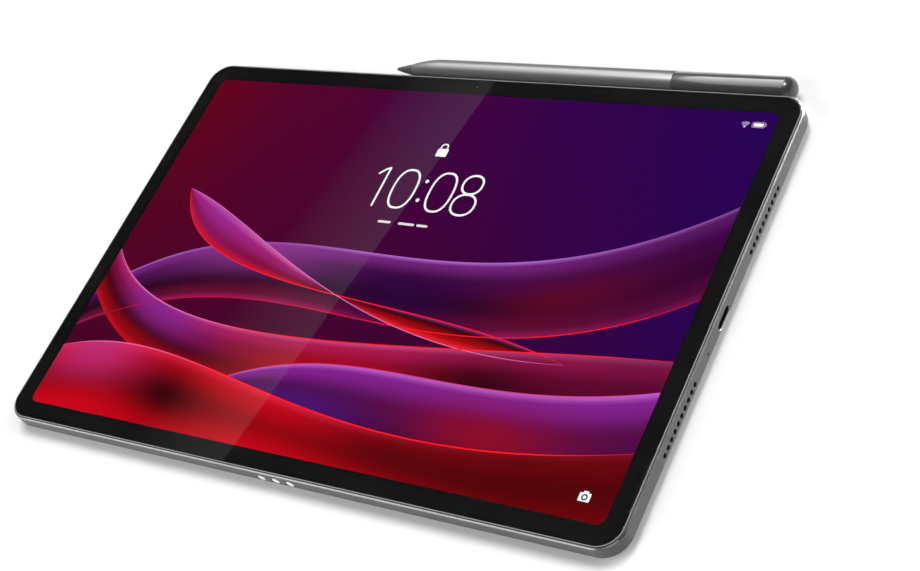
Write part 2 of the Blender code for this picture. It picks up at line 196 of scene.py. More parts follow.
ANODISED_BACK = grained("anodised_back", (0.17, 0.176, 0.172), 0.38, 0.6, vary=0.03, grain=5200,
                        depth=3e-6, spread=0.03)
# Painted shade: the side walls get a darker copy of the back's anodised metal, darkened to stand in for the shade
# they fall in.
ANODISED_WALL_SHADED = grained("anodised_walls_painted_shade", (0.068, 0.070, 0.069), 0.38, 0.45, vary=0.03, grain=5200,
                   depth=3e-6, spread=0.03)
# Painted highlight: a light grey for the up-facing rim inside the port slot, where light would fall.
PORT_RIM_HIGHLIGHT = grained("port_rim_painted_highlight", (0.30, 0.30, 0.295), 0.5, 0.4, vary=0.03, grain=5200, depth=2e-6)
# Painted shade: the port shell's steel is darkened so the slot reads dark inside.
PORT_SHELL_SHADED = brushed("port_shell_shaded_metal", (0.10, 0.10, 0.10), 0.4)
# Painted shade: near-black for the insides of the holes, the port slot and the contact pockets; also the real black
# of the glass seal and the lip's inner side.
BLACK_SEAL_AND_SHADE = grained("black_seal_and_hole_shade", (0.008, 0.008, 0.008), 0.7, 0.0, grain=2600, depth=1e-6)
EYE = grained("eye_black", (0.0012, 0.0012, 0.0012), 0.8, 0.0, grain=2600, depth=1e-7,
              Specular_IOR_Level=0.0)
# Painted highlight: a grey for the small glint disc in the front camera's lens.
EYE_PAINTED_GLINT = grained("eye_painted_glint", srgb(112, 120, 122), 0.3, 0.0, grain=2600, depth=1e-7)
GROOVE = grained("lip_groove", srgb(46, 46, 46), 0.5, 0.0, grain=4000, depth=2e-6)
KEY = grained("anodised_key", (0.18, 0.184, 0.182), 0.35, 0.6, vary=0.03, grain=5200, depth=3e-6,
              spread=0.03)
CHAMFER = grained("cut_chamfer", (0.50, 0.505, 0.50), 0.27, 1.0, vary=0.02, grain=3000,
                  depth=1e-7, patch=20, spread=0.01)
ISLAND = grained("island_plate", (0.40, 0.415, 0.405), 0.30, 1.0, vary=0.03, grain=6500, depth=2e-6,
                 spread=0.03)
RING = brushed("polished_ring", (0.80, 0.81, 0.81), 0.12, vary=0.03)
LIP = grained("bezel_lip", srgb(145, 145, 145), 0.42, 0.0, vary=0.02, grain=4000, depth=2e-7)
INK = grained("border_ink", (0.017, 0.017, 0.0172), 0.5, 0.0, grain=3000, depth=1e-6,
              Specular_IOR_Level=0.0)
CELL = grained("battery_pouch", (0.045, 0.045, 0.05), 0.5, 0.0, grain=1800, depth=2e-5)
PLATE = grained("magnesium_plate", (0.34, 0.34, 0.35), 0.5, 1.0, grain=1500, depth=1e-5)
PCB = grained("circuit_board", (0.015, 0.075, 0.04), 0.42, 0.0, vary=0.3, grain=900, depth=1e-5)
GRAPHITE = grained("graphite_sheet", (0.06, 0.06, 0.065), 0.45, 0.0, grain=1400, depth=1e-5)
STEEL = brushed("plated_steel", (0.56, 0.56, 0.55), 0.28)
POLYMER = grained("black_polymer", (0.018, 0.018, 0.019), 0.45, 0.0, grain=2600, depth=6e-6)
FLEX = grained("flex_circuit", (0.30, 0.13, 0.025), 0.4, 0.0, vary=0.15, grain=1500, depth=6e-6)
MAGNET = grained("magnet_nickel", (0.50, 0.50, 0.49), 0.3, 1.0, grain=2200, depth=4e-6)
DIFFUSER = grained("backlight_stack", (0.72, 0.73, 0.75), 0.4, 0.0, grain=900, depth=4e-6)
CONTACT = grained("contact_plating", (0.90, 0.90, 0.89), 0.5, 0.25, vary=0.02, grain=3000, depth=2e-6)
PEN_METAL = grained("pen_satin", (0.30, 0.302, 0.302), 0.36, 0.68, vary=0.015, grain=6500,
                    depth=5e-7, patch=25, spread=0.01, Specular_Tint=(0.18, 0.18, 0.18, 1),
                    Specular_IOR_Level=0.1)
PEN_GLOSS = grained("pen_gloss", srgb(66, 66, 67), 0.20, 0.0, vary=0.02, grain=900, depth=3e-7,
                    patch=25, spread=0.01, Coat_Weight=0.5, Coat_Roughness=0.04)
NIB = grained("nib_polymer", srgb(84, 84, 85), 0.42, 0.0, grain=3000, depth=4e-6)
LENS_BLACK = grained("lens_black", (0.004, 0.004, 0.0045), 0.06, 0.0, grain=200, depth=1e-8,
                     spread=0.01, Coat_Weight=1.0, Coat_Roughness=0.02)
LENS_COAT = grained("lens_coating", (0.006, 0.03, 0.035), 0.05, 0.0, grain=200, depth=1e-8,
                    spread=0.01, Coat_Weight=1.0, Coat_Roughness=0.01)
FLASH = grained("flash_lens", srgb(226, 220, 190), 0.18, 0.0, grain=2600, depth=4e-5)

# Woven acoustic cloth behind the speaker holes.
MESH = Mat("acoustic_cloth", (0.006, 0.006, 0.006), 0.8)
threads = MESH.node("ShaderNodeTexChecker")
threads.inputs["Scale"].default_value = 9000
threads.inputs["Color1"].default_value = (0.010, 0.010, 0.010, 1)
threads.inputs["Color2"].default_value = (0.003, 0.003, 0.003, 1)
MESH.link(MESH.co, threads.inputs["Vector"])
MESH.colour(threads.outputs["Color"]).bump(threads.outputs["Fac"], 1e-5)

# The cover glass, with the faintest wipe marks in its gloss.
GLASS = Mat("cover_glass", (1, 1, 1), 0.0, 0.0, IOR=1.5, Transmission_Weight=1.0)
smear = GLASS.noise(30.0, 5.0, 0.7, GLASS.mapped((1, 2.5, 1), (0, 0, 0.5)))
GLASS.rough(GLASS.ranged(smear, 0.35, 0.75, 0.0, 0.018))


def lit(name, attribute="tint", gain=1.0):
    """Light given off by the picture, coloured point by point."""
    m = Mat(name, (0, 0, 0), 0.5, 0.0, Specular_IOR_Level=0.0, Emission_Strength=gain)
    a = m.node("ShaderNodeAttribute", attribute_name=attribute)
    speck = m.tint(m.noise(2600.0, 1.0), (0.985, 0.985, 0.985), (1.0, 1.0, 1.0))
    mul = m.node("ShaderNodeMix", data_type="RGBA", blend_type="MULTIPLY")
    mul.inputs[0].default_value = 1.0
    m.link(a.outputs["Color"], mul.inputs[6])
    m.link(speck, mul.inputs[7])
    m.link(mul.outputs[2], m.p.inputs["Emission Color"])
    return m


PICTURE = lit("lit_picture", gain=1.12)


# ------------------------------------------------------------------- meshing
def world(p):
    return O + Vector(p) / 1000.0


def rounded(hx, hy, r, seg):
    r = max(min(r, hx, hy), 0.01)
    out = []
    for cx, cy, start in ((hx - r, hy - r, 0), (r - hx, hy - r, 90),
                          (r - hx, r - hy, 180), (hx - r, r - hy, 270)):
        for i in range(seg + 1):
            a = math.radians(start + 90.0 * i / seg)
            out.append((cx + r * math.cos(a), cy + r * math.sin(a)))
    return out


def inset(d, seg=26):
    return rounded(HX - d, HY - d, max(CORNER - d, 1.0), seg)


def stadium(length, width, seg=12):
    return rounded(length / 2, width / 2, width / 2 - 0.001, seg)


def shift(points, dx, dy):
    return [(x + dx, y + dy) for x, y in points]


def xyz(points, level, axis="z"):
    if axis == "z":
        return [(a, b, level) for a, b in points]
    if axis == "x":
        return [(level, a, b) for a, b in points]
    return [(a, level, b) for a, b in points]


def loft(loops, closed=False, bm=None, slots=None):
    """Skins loops; slots gives each band its material index."""
    bm = bm or bmesh.new()
    rings = [[bm.verts.new(p) for p in loop] for loop in loops]
    n = len(rings[0])
    pairs = list(zip(rings, rings[1:]))
    if closed:
        pairs.append((rings[-1], rings[0]))
    for k, (a, b) in enumerate(pairs):
        for i in range(n):
            j = (i + 1) % n
            f = bm.faces.new((a[i], a[j], b[j], b[i]))
            if slots:
                f.material_index = slots[k]
    if not closed:
        bm.faces.new(list(reversed(rings[0])))
        bm.faces.new(rings[-1])
    return bm


def circle(r, n, cx=0.0, cy=0.0, phase=0.0):
    return [(cx + r * math.cos(2 * math.pi * (i + phase) / n),
             cy + r * math.sin(2 * math.pi * (i + phase) / n)) for i in range(n)]


def turned(profile, cx, cy, axis="z", n=72, closed=False, bm=None, slots=None):
    return loft([xyz(circle(max(r, 0.01), n, cx, cy), z, axis) for r, z in profile],
                closed=closed, bm=bm, slots=slots)


def fillet(points, r, seg=4, ends=True):
    """Rounds the corners of an open or closed 2-D profile by up to r."""
    out = []
    n = len(points)
    for i, p in enumerate(points):
        if ends and (i == 0 or i == n - 1):
            out.append(tuple(p))
            continue
        a, b = Vector(points[i - 1]), Vector(points[(i + 1) % n])
        p = Vector(p)
        u, v = (a - p), (b - p)
        k = min(r, u.length * 0.45, v.length * 0.45)
        p0, p1 = p + u.normalized() * k, p + v.normalized() * k
        for j in range(seg + 1):
            t = j / seg
            out.append(tuple(p0 * (1 - t) ** 2 + p * 2 * t * (1 - t) + p1 * t ** 2))
    return out


def piece(name, bm, mats, body="tablet", replaces=(), smooth=35.0, weighted=False):
    bmesh.ops.recalc_face_normals(bm, faces=bm.faces)
    for v in bm.verts:
        v.co = world(v.co)
    mesh = bpy.data.meshes.new(name)
    bm.to_mesh(mesh)
    bm.free()
    obj = bpy.data.objects.new(name, mesh)
    bpy.context.scene.collection.objects.link(obj)
    for m in mats if isinstance(mats, (list, tuple)) else [mats]:
        mesh.materials.append(m.m)
    mesh.shade_smooth()
    mesh.set_sharp_from_angle(angle=math.radians(smooth))
    if body:
        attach(obj, body)
        if replaces:
            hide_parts(*replaces)
    return obj


def baked(obj):
    """Replaces an object's mesh by what its modifiers make of it."""
    bpy.context.view_layer.update()
    deps = bpy.context.evaluated_depsgraph_get()
    mesh = bpy.data.meshes.new_from_object(obj.evaluated_get(deps), depsgraph=deps)
    obj.modifiers.clear()
    old = obj.data
    obj.data = mesh
    bpy.data.meshes.remove(old)
    return obj


def carve(obj, *cutters, op="DIFFERENCE"):
    for bm in cutters:
        tool = piece("tool", bm, obj_mat(obj), body=None)
        mod = obj.modifiers.new("cut", "BOOLEAN")
        mod.object, mod.operation, mod.solver = tool, op, "EXACT"
        baked(obj)
        bpy.data.objects.remove(tool, do_unlink=True)
    return obj


class _M:
    def __init__(self, m):
        self.m = m


def obj_mat(obj):
    return [_M(m) for m in obj.data.materials]


def even_normals(obj, angle):
    obj.data.shade_smooth()
    obj.data.set_sharp_from_angle(angle=math.radians(angle))
    mod = obj.modifiers.new("normals", "WEIGHTED_NORMAL")
    mod.keep_sharp = True
    mod.weight = 50
    return obj


# ------------------------------------------------------------- rear housing
def housing():
    under = []
    for i in range(9):
        t = i / 8
        a, b, c = (1.15, -7.3), (2.6, -THICK), (6.0, -THICK)
        under.append(tuple((1 - t) ** 2 * a[k] + 2 * t * (1 - t) * b[k] + t * t * c[k] for k in (0, 1)))
    profile = [(6.5, -7.35), (1.3, -5.7), (1.3, -1.65), (0.45, -1.65), (0.45, -0.41), (0.49, -0.37),
               (0.44, -0.37), (0.0, -0.82), (0.0, -6.1), (0.42, -6.82), (0.48, -6.88)] + under
    profile[5] = (0.47, -0.375)
    bm = loft([xyz(inset(d), z) for d, z in profile])
    obj = piece("housing_shell", bm, [ANODISED_WALL_SHADED, CHAMFER, PORT_RIM_HIGHLIGHT, BLACK_SEAL_AND_SHADE, ANODISED_BACK],
                replaces=["rear_housing"], smooth=22)
    holes = bmesh.new()
    for side in (-1, 1):
        for row in (-1, 1):
            for i in range(10):
                y = row * (HOLE_Y0 + i * HOLE_PITCH)
                f = side * HX
                turned([(HOLE_R, f - side * 2.2), (HOLE_R, f - side * 0.14),
                        (HOLE_R + 0.03, f - side * 0.05), (HOLE_R + 0.08, f),
                        (HOLE_R + 0.5, f + side * 0.42)], y, HOLE_Z, "x", n=28, bm=holes)
    turned([(MIC_R, HX - 2.2), (MIC_R, HX - 0.12), (MIC_R + 0.1, HX), (MIC_R + 0.4, HX + 0.3)],
           MIC_Y, MIC_Z, "x", n=20, bm=holes)
    loops = []
    for g, x in ((0.0, HX - 1.0), (0.0, HX - 0.38), (0.1, HX - 0.2), (0.42, HX), (0.9, HX + 0.28)):
        loops.append(xyz(shift(stadium(USB_L + g, USB_H + g, 10), 0, USB_Z), x, "x"))
    loft(loops, bm=holes)
    for i in (-1, 0, 1):
        turned([(POGO_R + 0.3, -HY + 2.2), (POGO_R + 0.3, -HY + 0.1), (POGO_R + 0.38, -HY),
                (POGO_R + 0.6, -HY - 0.3)], POGO_X + i * POGO_PITCH, POGO_Z, "y", n=36, bm=holes)
    carve(obj, holes)
    more = bmesh.new()
    loft([xyz([(136.4, -4.85), (HX - 0.9, -4.85), (HX - 0.9, 4.85), (136.4, 4.85)], z)
          for z in (-6.45, -2.6)], bm=more)
    for length, along, axis, face in ((POWER_L, POWER_Y, "x", -HX), (VOLUME_L, VOLUME_X, "y", HY)):
        s = 1 if face > 0 else -1
        loft([xyz(shift(stadium(length + 0.5 + g, KEY_H + 0.5 + g, 10), along, KEY_Z), lv, axis)
              for g, lv in ((0, face - s * 2.0), (0, face - s * 0.1), (0.2, face), (0.6, face + s * 0.3))],
             bm=more)
    carve(obj, more)
    pocket = bmesh.new()
    g = 0.12
    loft([xyz(shift(stadium(2 * PITCH + 2 * (ISLAND_R + e), 2 * (ISLAND_R + e), 32), ISLAND_X, ISLAND_Y), z)
          for e, z in ((g, -7.98), (g, -8.4), (g + 0.12, -8.5), (g + 0.5, -8.9))], bm=pocket)
    carve(obj, pocket)
    bores = bmesh.new()
    for x, r in ((FLASH_X, 3.3), (MAIN_X, 5.5), (SECOND_X, 4.5)):
        turned([(r, -9.5), (r, -6.5)], x, ISLAND_Y, n=32, bm=bores)
    carve(obj, bores)
    mesh = obj.data
    for poly in mesh.polygons:
        c = (poly.center - O) * 1000.0
        nz, up = poly.normal.z, c.z
        slanted = 0.35 < abs(nz) < 0.95
        index = 1 if (slanted and (-0.83 < up < -0.36)) or \
            (slanted and -7.32 < up < -6.84 and nz < 0) else 0
        depth_x, depth_y = HX - abs(c.x), HY - abs(c.y)
        row = HOLE_Y0 - 1.5 < abs(c.y) < HOLE_Y0 + 9 * HOLE_PITCH + 1.5
        # Painted shade: the insides of the speaker and microphone holes, the port slot and the contact pockets take
        # the near-black material; the slot's up-facing rim takes a painted highlight.
        if abs(up - HOLE_Z) < 1.3 and row and abs(poly.normal.x) < 0.95:
            if depth_x > 0.0:
                index = 3
        if c.x > 0 and abs(c.y - MIC_Y) < 0.8 and abs(up - MIC_Z) < 0.8 and poly.normal.x < 0.95 and depth_x > 0:
            index = 3
        if c.x > 0 and abs(c.y) < 5.2 and -6.3 < up < -2.9 and poly.normal.x < 0.95:
            if depth_x > 0.36:
                index = 3
            elif depth_x > 0.0:
                index = 2 if nz > 0.25 else 3
        if c.y < 0 and abs(c.x - POGO_X) < 9.0 and abs(up - POGO_Z) < 2.2 and \
                abs(poly.normal.y) < 0.6 and 0.0 < depth_y < 2.0:
            index = 3
        # The back keeps the lighter anodised metal; the walls keep the darker copy with its painted shade.
        if up < -7.45:
            index = 4
        poly.material_index = index
    even_normals(obj, 22)
    return obj


housing()

# ---------------------------------------------------- lip, glass and display
lip = [(0.47, -1.3), (0.47, -0.55), (0.62, -0.50), (0.80, -0.47), (0.83, -0.14), (0.87, -0.05),
       (0.95, -0.01), (1.10, -0.01), (1.16, -0.05), (1.17, -0.12), (1.17, -0.85), (1.8, -0.85), (1.8, -1.3)]
lip_obj = piece("bezel_lip", loft([xyz(inset(d), z) for d, z in lip], closed=True), [LIP, GROOVE, BLACK_SEAL_AND_SHADE],
                replaces=["bezel_frame"])
for poly in lip_obj.data.polygons:
    c = (poly.center - O) * 1000.0
    d = min(HX - abs(c.x), HY - abs(c.y))
    if c.z < -0.30 and poly.normal.z > -0.5:
        poly.material_index = 1
    inner = c - Vector((math.copysign(HX - CORNER, c.x), math.copysign(HY - CORNER, c.y), 0))
    if abs(c.x) > HX - CORNER and abs(c.y) > HY - CORNER:
        d = CORNER - math.hypot(inner.x, inner.y)
    if d > 1.13 and c.z > -0.84:
        poly.material_index = 2
even_normals(lip_obj, 30)

glass = [(1.25, -0.55), (1.25, -0.16), (1.27, -0.09), (1.32, -0.035), (1.39, -0.010), (1.50, 0.0)]
glass_obj = even_normals(piece("front_glass", loft([xyz(inset(d), z) for d, z in glass]), GLASS,
                               replaces=["cover_glass"]), 40)
gasket = [(1.18, -0.80), (1.18, -0.10), (1.20, -0.05), (1.235, -0.05), (1.243, -0.10), (1.243, -0.80)]
piece("glass_gasket", loft([xyz(inset(d), z) for d, z in gasket], closed=True), BLACK_SEAL_AND_SHADE)


def ring_plate(outer, inner, z0, z1, bm=None):
    return loft([xyz(outer, z0), xyz(outer, z1), xyz(inner, z1), xyz(inner, z0)], closed=True, bm=bm)


# The black ink under the glass, as a frame with its lit window.
ink = ring_plate(inset(1.255, 26), rounded(ACTIVE_X, ACTIVE_Y, 3.3, 26), -0.62, -0.56)
ink_obj = piece("border_ink", ink, INK, smooth=30)
eye = bmesh.new()
turned([(1.35, -0.70), (1.35, -0.50)], 0.2, 89.8, n=32, bm=eye)
turned([(0.55, -0.70), (0.55, -0.50)], 17.25, 89.75, n=24, bm=eye)
carve(ink_obj, eye)
ink_obj.data.shade_smooth()
ink_obj.data.set_sharp_from_angle(angle=math.radians(30))


# ------------------------------------------------------------- the lit picture
def smooth(a, b, x):
    t = min(1.0, max(0.0, (x - a) / (b - a)))
    return t * t * (3 - 2 * t)


def mix(a, b, t):
    return tuple(x + (y - x) * t for x, y in zip(a, b))


def ramp(stops, x):
    """Colour along (position, colour) stops, eased between them."""
    if x <= stops[0][0]:
        return stops[0][1]
    for (p0, c0), (p1, c1) in zip(stops, stops[1:]):
        if x <= p1:
            return mix(c0, c1, smooth(p0, p1, x))
    return stops[-1][1]


def bez(p, t):
    u = 1 - t
    return Vector((u ** 3 * p[0][0] + 3 * u * u * t * p[1][0] + 3 * u * t * t * p[2][0] + t ** 3 * p[3][0],
                   u ** 3 * p[0][1] + 3 * u * u * t * p[1][1] + 3 * u * t * t * p[2][1] + t ** 3 * p[3][1]))


class Painter:
    """Gathers coloured sheets into one mesh, clipped to the lit window."""

    def __init__(self):
        self.bm = bmesh.new()
        self.layer = self.bm.verts.layers.float_color.new("tint")

    def sheet(self, grid, colours, z, thick=0.012, clip=True):
        """A grid of points as a thin closed plate."""
        bm = bmesh.new()
        layer = bm.verts.layers.float_color.new("tint")
        rows = []
        for line, tints in zip(grid, colours):
            row = []
            for (x, y), c in zip(line, tints):
                v = bm.verts.new((x, y, z))
                v[layer] = (*c, 1.0)
                row.append(v)
            rows.append(row)
        for a, b in zip(rows, rows[1:]):
            for i in range(len(a) - 1):
                bm.faces.new((a[i], a[i + 1], b[i + 1], b[i]))
        bmesh.ops.remove_doubles(bm, verts=bm.verts, dist=1e-4)
        if clip:
            for co, no in (((ACTIVE_X + 0.6, 0, 0), (1, 0, 0)), ((-ACTIVE_X - 0.6, 0, 0), (-1, 0, 0)),
                           ((0, ACTIVE_Y + 0.6, 0), (0, 1, 0)), ((0, -ACTIVE_Y - 0.6, 0), (0, -1, 0))):
                geom = bm.verts[:] + bm.edges[:] + bm.faces[:]
                bmesh.ops.bisect_plane(bm, geom=geom, plane_co=co, plane_no=no, clear_outer=True)
        top = bm.faces[:]
        if not top:
            bm.free()
            return
        for f in top:
            f.normal_update()
        if sum(f.normal.z * f.calc_area() for f in top) < 0:
            bmesh.ops.reverse_faces(bm, faces=top)
        out = bmesh.ops.extrude_face_region(bm, geom=bm.faces[:], use_keep_orig=True)
        moved = [g for g in out["geom"] if isinstance(g, bmesh.types.BMVert)]
        for v in moved:
            v.co.z += thick
        bmesh.ops.recalc_face_normals(bm, faces=bm.faces)
        mesh = bpy.data.meshes.new("sheet")
        bm.to_mesh(mesh)
        bm.free()
        self.bm.from_mesh(mesh)
        bpy.data.meshes.remove(mesh)

    def ribbon(self, a, b, shade, z, nt=90, ns=22):
        """The surface between two curves; shade(s, t) gives its colour."""
        grid, colours = [], []
        for i in range(nt + 1):
            t = i / nt
            pa, pb = bez(a, t), bez(b, t)
            line, tints = [], []
            for j in range(ns + 1):
                s = j / ns
                s = s * s * (3 - 2 * s) * 0.5 + s * 0.5
                line.append(tuple(pa.lerp(pb, s)))
                tints.append(shade(s, t))
            grid.append(line)
            colours.append(tints)
        self.sheet(grid, colours, z)

    def line(self, curve, width, colour, z, n=110, fade=(0.0, 0.0), side=0.0):
        """A thin bright edge along a curve, tapering at its ends."""
        grid, colours = [], []
        for i in range(n + 1):
            t = i / n
            p, q = bez(curve, max(0, t - 0.004)), bez(curve, min(1, t + 0.004))
            d = (q - p).normalized()
            nrm = Vector((-d.y, d.x))
            m = bez(curve, t)
            w = width * (0.25 + 0.75 * smooth(0, 0.12, t) * smooth(0, 0.12, 1 - t))
            grid.append([tuple(m + nrm * (side - 0.5) * w), tuple(m + nrm * (side + 0.5) * w)])
            c = colour(t) if callable(colour) else colour
            colours.append([c, c])
        self.sheet(grid, colours, z)


paint = Painter()

# Background: red-magenta at the upper left through purple to deep violet.
C = lambda r, g, b: srgb(r, g, b)
top_row = [(0.0, C(100, 0, 30)), (0.22, C(84, 0, 46)), (0.5, C(64, 0, 66)), (0.72, C(50, 0, 76)), (1.0, C(40, 0, 84))]
mid_row = [(0.0, C(84, 0, 34)), (0.3, C(76, 0, 46)), (0.6, C(62, 0, 56)), (0.8, C(52, 0, 72)), (1.0, C(42, 0, 80))]
low_row = [(0.0, C(66, 0, 40)), (0.35, C(66, 0, 40)), (0.7, C(58, 0, 26)), (1.0, C(48, 0, 52))]
grid, tints = [], []
NX, NY = 72, 46
for j in range(NY + 1):
    v = j / NY
    line, cols = [], []
    for i in range(NX + 1):
        u = i / NX
        x = (u - 0.5) * 2 * (ACTIVE_X + 0.6)
        y = (0.5 - v) * 2 * (ACTIVE_Y + 0.6)
        line.append((x, y))
        upper = mix(ramp(top_row, u), ramp(mid_row, u), smooth(0, 0.55, v))
        cols.append(mix(upper, ramp(low_row, u), smooth(0.45, 1.0, v)))
    grid.append(line)
    tints.append(cols)
paint.sheet(grid, tints, -0.86, thick=0.012, clip=False)

# Silk-like waves, back to front. They rise from the lower left to the right edge.
pink, rose, plum = C(196, 84, 150), C(150, 24, 84), C(96, 20, 96)
violet, coal = C(72, 24, 130), C(26, 2, 4)
red, ember, wine = C(206, 6, 22), C(150, 8, 14), C(84, 4, 16)
neon, lilac = C(255, 24, 40), C(176, 104, 206)
L, R = -137.4, 137.4


def bump(x, mid, width):
    return math.exp(-((x - mid) / width) ** 2)


# 1: the far veil, violet above and dark inside.
veil_top = [(L, -30), (-62, 44), (34, -34), (R, 44)]
veil_low = [(L, -48), (-50, 10), (44, -60), (R, 4)]


def veil(s, t):
    c = ramp([(0.0, lilac), (0.06, C(112, 34, 120)), (0.3, C(66, 8, 70)), (0.62, C(40, 2, 26)),
              (0.88, C(96, 12, 50)), (1.0, rose)], s)
    c = mix(c, C(150, 60, 150), bump(t, 0.30, 0.14) * (1 - smooth(0.1, 0.8, s)) * 0.7)
    c = mix(c, C(104, 8, 34), bump(t, 0.84, 0.12) * bump(s, 0.55, 0.3) * 0.8)
    c = mix(c, C(46, 2, 64), smooth(0.72, 1.0, t) * 0.5)
    return mix(c, C(44, 2, 60), bump(t, 0.58, 0.12) * smooth(0.05, 0.4, s) * 0.8)


paint.ribbon(veil_top, veil_low, veil, -0.846, nt=130, ns=30)
paint.line(veil_low, 0.45, lambda t: mix(C(190, 20, 60), neon, smooth(0.3, 0.7, t)), -0.806)

# 2: a slim ribbon that twists over as it crosses the veil.
twist_top = [(-118, 26), (-70, 14), (0, -40), (96, -30)]
twist_low = [(-118, 26), (-96, -28), (20, -8), (96, -30)]


def twist(s, t):
    front = ramp([(0.0, C(206, 96, 170)), (0.25, C(160, 30, 110)), (0.7, C(130, 12, 60)), (1.0, C(200, 20, 46))], s)
    back = ramp([(0.0, C(236, 30, 40)), (0.4, C(150, 8, 14)), (0.8, C(60, 4, 10)), (1.0, C(120, 40, 120))], s)
    c = mix(front, back, smooth(0.50, 0.66, t))
    c = mix(c, C(50, 4, 20), bump(t, 0.56, 0.07) * 0.75)
    return mix(c, C(150, 50, 170), bump(t, 0.16, 0.14) * (1 - s) * 0.6)


paint.ribbon(twist_top, twist_low, twist, -0.836, nt=110, ns=22)
paint.line(twist_low, 0.45, neon, -0.800)
paint.line(twist_top, 0.35, C(220, 110, 180), -0.798)

# 3: the middle wave, pink on its crest and dark red in its hollow.
mid_top = [(L, -8), (-92, -58), (24, -30), (R, -22)]
mid_low = [(L, -30), (-80, -86), (40, -60), (R, -66)]


def middle(s, t):
    c = ramp([(0.0, C(198, 70, 130)), (0.08, C(168, 26, 84)), (0.3, C(118, 8, 46)), (0.55, C(70, 3, 16)),
              (0.82, C(138, 6, 20)), (1.0, C(196, 10, 26))], s)
    c = mix(c, C(186, 8, 20), bump(t, 0.56, 0.14) * bump(s, 0.5, 0.35) * 0.85)
    c = mix(c, C(130, 40, 150), bump(t, 0.22, 0.12) * (1 - smooth(0.1, 0.7, s)) * 0.8)
    c = mix(c, coal, bump(t, 0.78, 0.09) * bump(s, 0.45, 0.4) * 0.85)
    return mix(c, C(56, 4, 44), smooth(0.72, 1.0, t) * 0.6)


paint.ribbon(mid_top, mid_low, middle, -0.824, nt=130, ns=28)
paint.line(mid_top, 0.5, lambda t: mix(C(226, 110, 180), neon, smooth(0.25, 0.5, t)), -0.796)

# 4: a violet fold tucked under the front wave.
tuck_top = [(-52, -62), (4, -28), (60, -58), (R, -34)]
tuck_low = [(-52, -62), (16, -70), (76, -84), (R, -70)]


def tuck(s, t):
    c = ramp([(0.0, C(190, 90, 200)), (0.1, C(128, 34, 140)), (0.5, C(80, 10, 70)), (1.0, C(56, 4, 40))], s)
    c = mix(c, C(150, 10, 30), bump(t, 0.7, 0.16) * bump(s, 0.6, 0.4) * 0.8)
    return mix(c, violet, bump(t, 0.25, 0.16) * smooth(0.2, 0.9, s) * 0.7)


paint.ribbon(tuck_top, tuck_low, tuck, -0.812, nt=90, ns=20)
paint.line(tuck_top, 0.38, C(214, 60, 120), -0.794)

# 5: the front wave, red, along the bottom.
front_top = [(L, -58), (-70, -34), (6, -92), (R, -58)]
front_low = [(L, -104), (-60, -104), (30, -104), (R, -104)]


def front(s, t):
    c = ramp([(0.0, C(226, 30, 60)), (0.10, C(190, 6, 26)), (0.32, C(150, 4, 16)), (0.6, C(200, 4, 24)),
              (1.0, C(150, 2, 14))], s)
    c = mix(c, coal, bump(t, 0.30, 0.10) * bump(s, 0.34, 0.26) * 0.9)
    c = mix(c, C(190, 50, 130), bump(t, 0.10, 0.10) * (1 - smooth(0.0, 0.5, s)) * 0.8)
    c = mix(c, C(96, 2, 14), bump(t, 0.72, 0.10) * bump(s, 0.2, 0.2) * 0.7)
    return mix(c, C(42, 3, 5), smooth(0.48, 0.90, t) * 0.78)


paint.ribbon(front_top, front_low, front, -0.792, nt=130, ns=26)
paint.line(front_top, 0.6, lambda t: mix(C(240, 90, 150), C(255, 26, 34), smooth(0.15, 0.45, t)), -0.774)

# Body of the panel under the picture.
slab = loft([xyz(rounded(138.3, 87.0, 2.0, 6), -1.35), xyz(rounded(138.3, 87.0, 2.0, 6), -0.88)])
mesh = bpy.data.meshes.new("slab")
slab.to_mesh(mesh)
slab.free()
paint.bm.from_mesh(mesh)
bpy.data.meshes.remove(mesh)
picture = piece("screen_picture", paint.bm, PICTURE, replaces=["lcd_panel"], smooth=30)

# --------------------------------------------------- clock and status symbols
WHITE = lit("lit_symbols", gain=1.12)
signs = Painter()
WHITE_C = (1.0, 1.0, 1.0)
Z_SIGN = -0.70


def stroke(points, width, colour=WHITE_C, closed=False, z=Z_SIGN):
    """A line of even width with round ends, as one strip."""
    pts = [Vector(p) for p in points]
    n = len(pts)
    grid = []
    for i in range(n + (1 if closed else 0)):
        k = i % n
        prev = pts[k - 1] if (closed or k > 0) else pts[k]
        nxt = pts[(k + 1) % n] if (closed or k < n - 1) else pts[k]
        d = (nxt - prev).normalized()
        nrm = Vector((-d.y, d.x)) * width / 2
        grid.append([tuple(pts[k] + nrm), tuple(pts[k] - nrm)])
    signs.sheet(grid, [[colour] * 2] * len(grid), z, thick=0.02, clip=False)
    if not closed:
        for end in (pts[0], pts[-1]):
            disc(end, width / 2, colour, z)


def disc(centre, r, colour=WHITE_C, z=Z_SIGN, n=20):
    c = Vector(centre)
    rings = [0.02 * r, r]
    grid = [[tuple(c + Vector((k * math.cos(2 * math.pi * i / n), k * math.sin(2 * math.pi * i / n))))
             for k in rings] for i in range(n + 1)]
    signs.sheet(grid, [[colour] * 2] * len(grid), z + 0.0005, thick=0.02, clip=False)


def oval(cx, cy, a, b, n=56, power=2.5, start=0.0, sweep=360.0):
    out = []
    for i in range(n):
        t = math.radians(start + sweep * i / n)
        c, s = math.cos(t), math.sin(t)
        out.append((cx + a * math.copysign(abs(c) ** (2 / power), c),
                    cy + b * math.copysign(abs(s) ** (2 / power), s)))
    return out


PEN_W = 0.92
